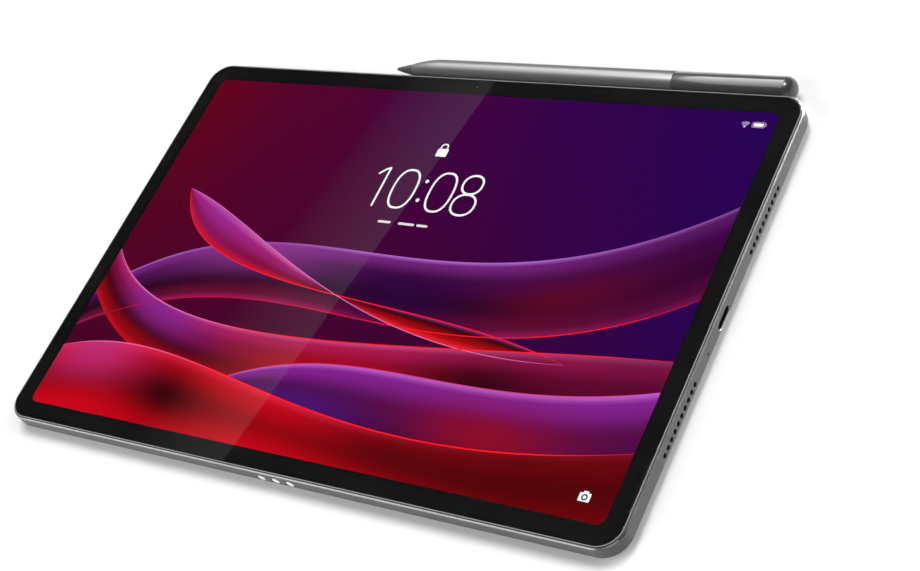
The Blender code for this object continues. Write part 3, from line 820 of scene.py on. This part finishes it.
# 10:08 in thin round strokes.
stroke([(-24.6, 43.0), (-21.9, 45.4), (-20.3, 46.0)], PEN_W)
stroke([(-20.3, 46.0), (-20.3, 27.3)], PEN_W)
stroke(oval(-8.9, 36.65, 5.5, 9.35), PEN_W, closed=True)
disc((0.25, 41.2), 0.85)
disc((0.25, 31.9), 0.85)
stroke(oval(9.3, 36.65, 5.5, 9.35), PEN_W, closed=True)
stroke(oval(22.2, 41.55, 4.55, 4.45, power=2.2), PEN_W, closed=True)
stroke(oval(22.2, 31.85, 5.35, 4.95, power=2.2), PEN_W, closed=True)

# A row of plain bars stands where a line of writing would be.
soft = (0.80, 0.74, 0.78)
for x0, x1 in ((-12.6, -7.4), (-2.6, 4.2), (6.4, 10.6)):
    stroke([(x0, 20.2), (x1, 20.2)], 1.1, colour=soft)


# Padlock: body and shackle.
def rounded_plate(cx, cy, hx, hy, r, colour=WHITE_C, z=Z_SIGN):
    pts = shift(rounded(hx, hy, r, 6), cx, cy)
    n = len(pts)
    # start at the right end, so the strip's two halves mirror each other
    order = pts[:n // 2], list(reversed(pts[n // 2:]))
    grid = [[a, b] for a, b in zip(*order)]
    signs.sheet(grid, [[colour] * 2] * len(grid), z, thick=0.02, clip=False)


rounded_plate(0.07, 55.6, 2.6, 1.95, 0.5)
stroke([(-1.5, 57.3), (-1.5, 58.4)] + [(0.07 - 1.57 * math.cos(math.radians(a)), 58.4 + 1.45 * math.sin(math.radians(a)))
                                        for a in range(20, 170, 15)] + [(1.64, 58.4), (1.64, 57.3)], 0.62)

# Camera symbol: body, hump and a ring cut as a darker circle.
rounded_plate(125.85, -76.9, 2.2, 1.62, 0.35)
rounded_plate(125.85, -75.0, 0.95, 0.42, 0.2)
stroke(oval(125.85, -76.9, 0.92, 0.92, n=28, power=2.0), 0.52, colour=C(24, 6, 12), closed=True, z=Z_SIGN + 0.022)

# Radio fan and battery.
for r in (0.8, 1.55, 2.3):
    stroke([(124.6 + r * math.sin(math.radians(a)), 78.5 + r * math.cos(math.radians(a)))
            for a in range(-42, 43, 12)], 0.30, colour=C(214, 196, 226))
disc((124.6, 78.55), 0.35, colour=C(230, 220, 236))
rounded_plate(129.9, 79.75, 1.95, 0.72, 0.25)
stroke(shift(rounded(2.5, 1.15, 0.5, 5), 129.9, 79.75), 0.20, colour=C(206, 190, 222), closed=True)
stroke([(132.85, 79.4), (132.85, 80.1)], 0.3, colour=C(206, 190, 222))
piece("screen_symbols", signs.bm, WHITE, smooth=30)

# Front camera and light sensor behind the ink, with a painted glint in the camera's lens.
eye = bmesh.new()
turned([(0.9, -0.84), (1.5, -0.84), (1.5, -0.60), (1.30, -0.58), (1.05, -0.60), (0.95, -0.70)],
       0.2, 89.8, n=40, closed=True, bm=eye)
piece("front_camera_ring", eye, EYE)
eye = bmesh.new()
turned([(0.92, -0.84), (0.92, -0.74), (0.75, -0.69), (0.4, -0.66), (0.05, -0.65)], 0.2, 89.8, n=32, bm=eye)
piece("front_camera_lens", eye, EYE)
# Painted glint: a small grey disc, set off-centre in the black lens, stands in for a highlight.
eye = bmesh.new()
turned([(0.42, -0.72), (0.42, -0.635), (0.3, -0.625), (0.05, -0.62)], 0.42, 89.62, n=24, bm=eye)
piece("front_camera_painted_glint", eye, EYE_PAINTED_GLINT)
eye = bmesh.new()
turned([(0.5, -0.84), (0.5, -0.66), (0.3, -0.64)], 17.25, 89.75, n=24, bm=eye)
piece("light_sensor_window", eye, EYE)

# ------------------------------------------------------------- camera island
island = []
for e, z in ((0.0, -8.05), (0.0, -9.05), (-0.05, -9.2), (-0.18, -9.32), (-0.42, -9.40), (-0.50, -9.46),
             (-0.54, -9.60), (-0.56, -9.92), (-0.62, -10.03), (-0.74, -10.08), (-0.95, -10.1)):
    island.append(xyz(shift(stadium(2 * PITCH + 2 * (ISLAND_R + e), 2 * (ISLAND_R + e), 36),
                            ISLAND_X, ISLAND_Y), z))
isl = piece("island_plate", loft(island), ISLAND, replaces=["camera_island"], smooth=25)
steps = bmesh.new()
for x, top in ((MAIN_X, -9.0), (SECOND_X, -9.0), (FLASH_X, -9.4)):
    turned([(9.45, top), (9.45, -10.02), (9.55, -10.1), (9.8, -10.35)], x, ISLAND_Y, n=96, bm=steps)
carve(isl, steps)
through = bmesh.new()
for x, r in ((FLASH_X, 3.3), (MAIN_X, 5.5), (SECOND_X, 4.5)):
    turned([(r, -9.7), (r, -7.9)], x, ISLAND_Y, n=40, bm=through)
carve(isl, through)
even_normals(isl, 25)

for tag, x in (("main", MAIN_X), ("second", SECOND_X)):
    prof = [(8.25, -9.15), (9.32, -9.15), (9.32, -10.2), (9.30, -10.38), (9.22, -10.52), (9.08, -10.59),
            (8.92, -10.6), (8.75, -10.58), (8.55, -10.50), (8.33, -10.36), (8.25, -10.30)]
    piece(f"lens_rim_{tag}", turned(prof, x, ISLAND_Y, n=96, closed=True), RING,
          replaces=[f"lens_ring_{tag}"], smooth=50)
    big = 3.4 if tag == "main" else 2.5
    win = [(8.1, -9.3), (8.1, -10.22), (8.0, -10.30), (7.85, -10.33), (6.9, -10.33), (6.75, -10.28),
           (6.2, -10.02), (6.05, -9.98), (big + 1.3, -9.98), (big + 1.15, -9.94), (big + 0.15, -9.62),
           (big, -9.60)]
    piece(f"lens_face_{tag}", turned(win, x, ISLAND_Y, n=96), LENS_BLACK,
          replaces=[f"lens_window_{tag}"], smooth=25)
    dome = [(big - 0.05, -9.55)] + [(max(0.02, (big - 0.05) * math.cos(a)), -9.60 - 0.5 * math.sin(a))
                                   for a in [math.radians(d) for d in range(0, 91, 10)]]
    piece(f"lens_dome_{tag}", turned(dome, x, ISLAND_Y, n=72), LENS_COAT, smooth=40)
    band = [(6.78, -10.20), (6.78, -10.31), (6.70, -10.335), (6.55, -10.30), (6.50, -10.20)]
    piece(f"lens_band_{tag}", turned(band, x, ISLAND_Y, n=96, closed=True),
          grained(f"lens_band_{tag}", srgb(92, 95, 96), 0.25, 1.0), smooth=40)

disc_prof = [(3.05, -9.65), (9.33, -9.65), (9.33, -10.02), (9.25, -10.08), (9.1, -10.1), (8.1, -10.1),
             (8.05, -10.07), (7.95, -10.07), (7.9, -10.1), (3.25, -10.1), (3.12, -10.07), (3.05, -10.0)]
piece("flash_plate", turned(disc_prof, FLASH_X, ISLAND_Y, n=96, closed=True), ISLAND,
      replaces=["flash_disc"], smooth=25)
fl = bmesh.new()
prof = [(2.75, -8.6), (2.75, -9.95), (2.65, -10.03)]
for k in range(9):
    r = 2.5 - k * 0.29
    prof.append((max(r, 0.05), -10.03 - (0.05 if k % 2 else 0.0)))
turned(prof, FLASH_X, ISLAND_Y, n=64, bm=fl)
piece("flash_lens", fl, FLASH, replaces=["flash_window"], smooth=20)

# ---------------------------------------------------------------------- keys
def key(name, node, along, length, axis, face, body):
    s = 1 if face > 0 else -1
    out = abs(face) + KEY_OUT
    prof = [(-0.66, out), (-0.38, out - 0.03), (-0.16, out - 0.12), (-0.04, out - 0.26), (0.0, out - 0.42),
            (0.0, out - 1.9), (3.0, out - 1.9), (3.0, out - 2.35)]
    loops = []
    for g, lv in prof:
        h = KEY_H + (g if g < 1 else 1.0)
        loops.append(xyz(shift(stadium(length + g, h, 14), along, KEY_Z), s * lv, axis))
    even_normals(piece(name, loft(loops), KEY, body=body, replaces=[node]), 35)


key("power_key", "power_button", POWER_Y, POWER_L, "x", -HX, "power_button")
key("volume_key", "volume_rocker", VOLUME_X, VOLUME_L, "y", HY, "volume_rocker")

# ------------------------------------------------------ port, contacts, cloth
# The port shell carries painted shade: its metal is darkened.
shell = bmesh.new()
loops = [(8.94, 3.16, 137.0), (8.94, 3.16, 143.70), (8.86, 3.08, 143.82), (8.70, 2.92, 143.85),
         (8.46, 2.68, 143.83), (8.34, 2.56, 143.70), (8.34, 2.56, 138.0)]
loft([xyz(shift(stadium(a, b, 12), 0, USB_Z), x, "x") for a, b, x in loops], bm=shell)
even_normals(piece("port_shell", shell, PORT_SHELL_SHADED, replaces=["usb_c_receptacle"]), 35)
tongue = bmesh.new()
loft([xyz(shift(rounded(a, b, 0.18, 5), 0, USB_Z), x, "x")
      for a, b, x in ((3.34, 0.35, 137.6), (3.34, 0.35, 142.85), (3.26, 0.27, 143.0))], bm=tongue)
piece("port_tongue", tongue, POLYMER)
pads = bmesh.new()
for face in (-1, 1):
    for i in range(12):
        y = -2.75 + i * 0.5
        z = USB_Z + face * 0.345
        loft([xyz([(138.5, y - 0.13), (142.6, y - 0.13), (142.6, y + 0.13), (138.5, y + 0.13)], z + d)
              for d in (-0.03, 0.03)], bm=pads)
piece("port_pads", pads, CONTACT)

for i, tag in ((-1, "a"), (0, "b"), (1, "c")):
    cx = POGO_X + i * POGO_PITCH
    prof = [(1.58, -92.4), (1.58, -HY + 0.12), (1.55, -HY + 0.06), (1.47, -HY + 0.03), (0.8, -HY + 0.015),
            (0.05, -HY + 0.01)]
    piece(f"contact_pad_{tag}", turned(prof, cx, POGO_Z, "y", n=48), CONTACT,
          replaces=[f"dock_contact_{tag}"], smooth=40)
    collar = [(1.60, -92.5), (1.79, -92.5), (1.79, -HY + 0.20), (1.74, -HY + 0.14), (1.65, -HY + 0.15),
              (1.60, -HY + 0.20)]
    piece(f"contact_collar_{tag}", turned(collar, cx, POGO_Z, "y", n=48, closed=True), POLYMER,
          smooth=40)

# ----------------------------------------------------------------------- pen
barrel = [(1.45, -38.6), (2.48, -38.6), (2.58, -38.55), (2.63, -38.42)]
ctrl = [(2.63, -38.42), (3.45, -35.0), (4.1, -31.6), (4.6, -28.0), (4.84, -24.4), (4.9, -20.5)]


def catmull(pts, per=6):
    out = []
    for i in range(len(pts) - 1):
        p0, p1, p2, p3 = pts[max(i - 1, 0)], pts[i], pts[i + 1], pts[min(i + 2, len(pts) - 1)]
        for k in range(per):
            t = k / per
            out.append(tuple(0.5 * (2 * p1[d] + (p2[d] - p0[d]) * t + (2 * p0[d] - 5 * p1[d] + 4 * p2[d] - p3[d]) * t * t
                                    + (3 * p1[d] - p0[d] - 3 * p2[d] + p3[d]) * t ** 3) for d in (0, 1)))
    out.append(pts[-1])
    return out


barrel += catmull(ctrl)[1:]
barrel += [(PEN_R, PEN_JOINT - 0.15), (PEN_R - 0.04, PEN_JOINT - 0.04), (PEN_R - 0.14, PEN_JOINT),
           (3.9, PEN_JOINT), (3.9, -27.0), (1.45, -31.5)]
piece("pen_body", turned([(min(r, PEN_R), x) for r, x in barrel], PEN_Y, PEN_Z, "x", n=96, closed=True),
      PEN_METAL, body="pen", replaces=["pen_barrel"], smooth=35)

rear = [(3.9, PEN_JOINT + 0.16), (PEN_R - 0.14, PEN_JOINT + 0.16), (PEN_R - 0.04, PEN_JOINT + 0.2),
        (PEN_R, PEN_JOINT + 0.32), (PEN_R, PEN_END - 4.2)]
for i in range(1, 15):
    a = math.radians(90.0 * i / 14)
    rear.append((0.9 + (PEN_R - 0.9) * math.cos(a), PEN_END - 4.2 + 4.2 * math.sin(a)))
rear.append((0.02, PEN_END))
piece("pen_cap", turned([(0.02, 131.0), (3.9, 131.0)] + rear, PEN_Y, PEN_Z, "x", n=96), PEN_GLOSS,
      body="pen", replaces=["pen_rear_sleeve"], smooth=35)

nib = [(0.02, PEN_TIP), (0.3, PEN_TIP + 0.04), (0.52, PEN_TIP + 0.2), (0.66, PEN_TIP + 0.5), (0.84, PEN_TIP + 1.2),
       (1.75, -42.4), (2.28, -39.6), (2.38, -39.2), (2.38, -39.0), (2.3, -38.92), (1.0, -38.92), (1.0, -32.6)]
piece("pen_tip", turned(nib, PEN_Y, PEN_Z, "x", n=72), NIB, body="pen_nib",
      replaces=["pen_nib"], smooth=35)

# ------------------------------------------ carried-over pieces get a finish
finish = {
    "battery_cell_left": CELL, "battery_cell_right": CELL, "pen_battery": CELL,
    "backlight_unit": DIFFUSER, "chassis_plate": PLATE, "heat_spreader": GRAPHITE,
    "mainboard": PCB, "usb_board": PCB, "pen_board": PCB,
    "display_flex": FLEX, "dock_charge_coil": FLEX,
    "dock_magnet_inner": MAGNET, "dock_magnet_outer": MAGNET, "pen_magnet": MAGNET,
    "flash_led": FLASH,
}
for name, node in NODES.items():
    m = finish.get(name)
    if m is None:
        if name.startswith("speaker_mesh"):
            m = MESH
        elif name.startswith(("shield_", "chassis_screw", "volume_switch", "power_switch")):
            m = STEEL
        else:
            m = POLYMER
    node.data.materials.clear()
    node.data.materials.append(m.m)

# --------------------------------------------------------------------- stage
bm = bmesh.new()
S = 6.0
for p in ((-S, -S), (S, -S), (S, S), (-S, S)):
    bm.verts.new((p[0], p[1], 0.0))
bm.faces.new(bm.verts)
fmesh = bpy.data.meshes.new("floor")
bm.to_mesh(fmesh)
bm.free()
floor = bpy.data.objects.new("floor", fmesh)
bpy.context.scene.collection.objects.link(floor)
FLOOR = Mat("pale_floor", (0.90, 0.90, 0.90), 0.75, 0.0, Specular_IOR_Level=0.2)
FLOOR.colour(FLOOR.tint(FLOOR.noise(3.0, 2.0), (0.855, 0.857, 0.86), (0.87, 0.87, 0.87)))
# Away from the object the floor keeps its brightness.
far = FLOOR.node("ShaderNodeVectorMath", operation="LENGTH")
FLOOR.link(FLOOR.co, far.inputs[0])
FLOOR.p.inputs["Emission Color"].default_value = (1, 1, 1, 1)
FLOOR.link(FLOOR.ranged(far.outputs["Value"], 0.7, 2.6, 0.0, 0.85, smooth=True),
           FLOOR.p.inputs["Emission Strength"])
fmesh.materials.append(FLOOR.m)


def aim(obj, at, target=(0, 0, 0.005)):
    obj.location = at
    d = Vector(target) - Vector(at)
    obj.rotation_euler = d.to_track_quat("-Z", "Y").to_euler()


def area(name, azimuth, elevation, dist, sx, sy, power, colour=(1, 1, 1)):
    light = bpy.data.lights.new(name, "AREA")
    light.shape = "RECTANGLE"
    light.size, light.size_y = sx, sy
    light.energy = power
    light.color = colour
    obj = bpy.data.objects.new(name, light)
    bpy.context.scene.collection.objects.link(obj)
    a, e = math.radians(azimuth), math.radians(elevation)
    aim(obj, (dist * math.cos(e) * math.cos(a), dist * math.cos(e) * math.sin(a), dist * math.sin(e)))
    obj.visible_camera = False
    return obj


def only(light, *names):
    """The light falls on these pieces alone."""
    group = bpy.data.collections.new(light.name + "_on")
    for n in names:
        group.objects.link(bpy.data.objects[n])
    light.light_linking.receiver_collection = group


def card(name, centre, along, across, sx, sy, power, fade=None):
    """A flat light with its own axes; fade dims it along its first side."""
    light = bpy.data.lights.new(name, "AREA")
    light.shape = "RECTANGLE"
    light.size, light.size_y = sx, sy
    light.energy = power
    obj = bpy.data.objects.new(name, light)
    bpy.context.scene.collection.objects.link(obj)
    x = Vector(along).normalized()
    y = (Vector(across) - x * Vector(across).dot(x)).normalized()
    z = x.cross(y)
    if z.dot(Vector(centre) - O) < 0:
        y, z = -y, -z
    obj.matrix_world = Matrix.Translation(centre) @ Matrix((x, y, z)).transposed().to_4x4()
    obj.visible_camera = False
    if fade:
        light.use_nodes = True
        nt = light.node_tree
        em = nt.nodes["Emission"]
        geo = nt.nodes.new("ShaderNodeNewGeometry")
        sep = nt.nodes.new("ShaderNodeSeparateXYZ")
        rng = nt.nodes.new("ShaderNodeMapRange")
        rng.inputs["To Min"].default_value, rng.inputs["To Max"].default_value = fade
        nt.links.new(geo.outputs["Parametric"], sep.inputs[0])
        nt.links.new(sep.outputs[0], rng.inputs[0])
        nt.links.new(rng.outputs[0], em.inputs["Strength"])
    return obj


area("key_softbox", 58, 77, 1.9, 0.8, 0.8, 26)
only(area("floor_front", 236, 40, 2.6, 2.4, 0.9, 40), "floor")
only(area("floor_right", 20, 38, 2.6, 1.8, 1.2, 34), "floor")
only(area("front_strip", 232, 18, 1.6, 1.6, 0.5, 2.8), "housing_shell", "power_key", "volume_key")
only(area("lip_strip", 240, 25, 1.6, 1.2, 0.5, 15), "bezel_lip")
only(area("lip_back", 120, 60, 0.8, 1.0, 0.3, 4), "bezel_lip")
only(area("pad_card", 236, 12, 1.2, 0.8, 0.5, 6), "contact_pad_a", "contact_pad_b", "contact_pad_c")
only(area("right_strip", 62, 4, 0.75, 0.5, 0.10, 22), "housing_shell")
only(area("corner_card", 300, 46, 1.6, 1.4, 0.9, 2.6), "housing_shell")
only(area("edge_card", 31, 38, 1.6, 1.0, 0.6, 0.55), "housing_shell")

# Soft cards mirrored along the pen's upper side, brightest towards the back.
back, ahead_y = Vector((0, -0.98, 0.19)), Vector((1, 0, 0))
barrel = Vector((O.x + 0.170, O.y + 0.0994, O.z - 0.0037)) + 0.7 * Vector((-0.88, 0.191, 0.982))
barrel -= back * 0.17
only(card("pen_card", barrel, back, ahead_y, 0.79, 0.95, 7.2, fade=(1.6, 0.10)), "pen_body", "pen_tip")
cap = Vector((O.x + 0.300, O.y + 0.0994, O.z - 0.0037)) + 0.7 * Vector((-0.88, 0.191, 0.982))
only(card("pen_cap_card", cap, back, ahead_y, 1.06, 0.55, 9.5, fade=(1.7, 0.26)), "pen_cap")

# The window-like card whose edge runs across the glass.
edge_a, edge_b = Vector((-1.0576, 1.0484, 1.2)), Vector((-1.1732, 0.3915, 1.2))
along = (edge_a - edge_b).normalized()
side = Vector((-along.y, along.x, 0))
mid = (edge_a + edge_b) / 2 + side * 0.085 + Vector((O.x, O.y, O.z))
glare = card("glare_card", mid, side, along, 0.17, 1.6, 0.15, fade=(1.0, 0.0))
glare.data.color = (1.0, 0.94, 1.0)
only(glare, "front_glass")

# World: pale near the horizon, dim overhead.
w = bpy.data.worlds.new("studio")
bpy.context.scene.world = w
w.use_nodes = True
nt = w.node_tree
bg = nt.nodes["Background"]
tc = nt.nodes.new("ShaderNodeTexCoord")
sep = nt.nodes.new("ShaderNodeSeparateXYZ")
nt.links.new(tc.outputs["Generated"], sep.inputs[0])
rampn = nt.nodes.new("ShaderNodeValToRGB")
rampn.color_ramp.elements[0].position = 0.05
rampn.color_ramp.elements[0].color = (0.86, 0.86, 0.87, 1)
rampn.color_ramp.elements[1].position = 0.30
rampn.color_ramp.elements[1].color = (0.012, 0.012, 0.012, 1)
nt.links.new(sep.outputs["Z"], rampn.inputs[0])
nt.links.new(rampn.outputs[0], bg.inputs["Color"])
bg.inputs["Strength"].default_value = 1.0

# -------------------------------------------------------------------- camera
cam_data = bpy.data.cameras.new("camera")
cam = bpy.data.objects.new("camera", cam_data)
bpy.context.scene.collection.objects.link(cam)
right = Vector((0.80895379, 0.40803014, -0.42320819))
down = Vector((0.11109365, -0.81303277, -0.5715207))
ahead = Vector((-0.5772798, 0.41531809, -0.7030355))
rot = Matrix((right, -down, -ahead)).transposed()
cam.matrix_world = Matrix.Translation(O + Vector((424.387, -281.227, 469.042)) / 1000.0) @ rot.to_4x4()
cam_data.sensor_width = 36.0
cam_data.lens = 1801.46 * 36.0 / 920.0
cam_data.clip_start = 0.01
cam_data.clip_end = 50
bpy.context.scene.camera = cam
bpy.context.scene.view_settings.view_transform = "Standard"
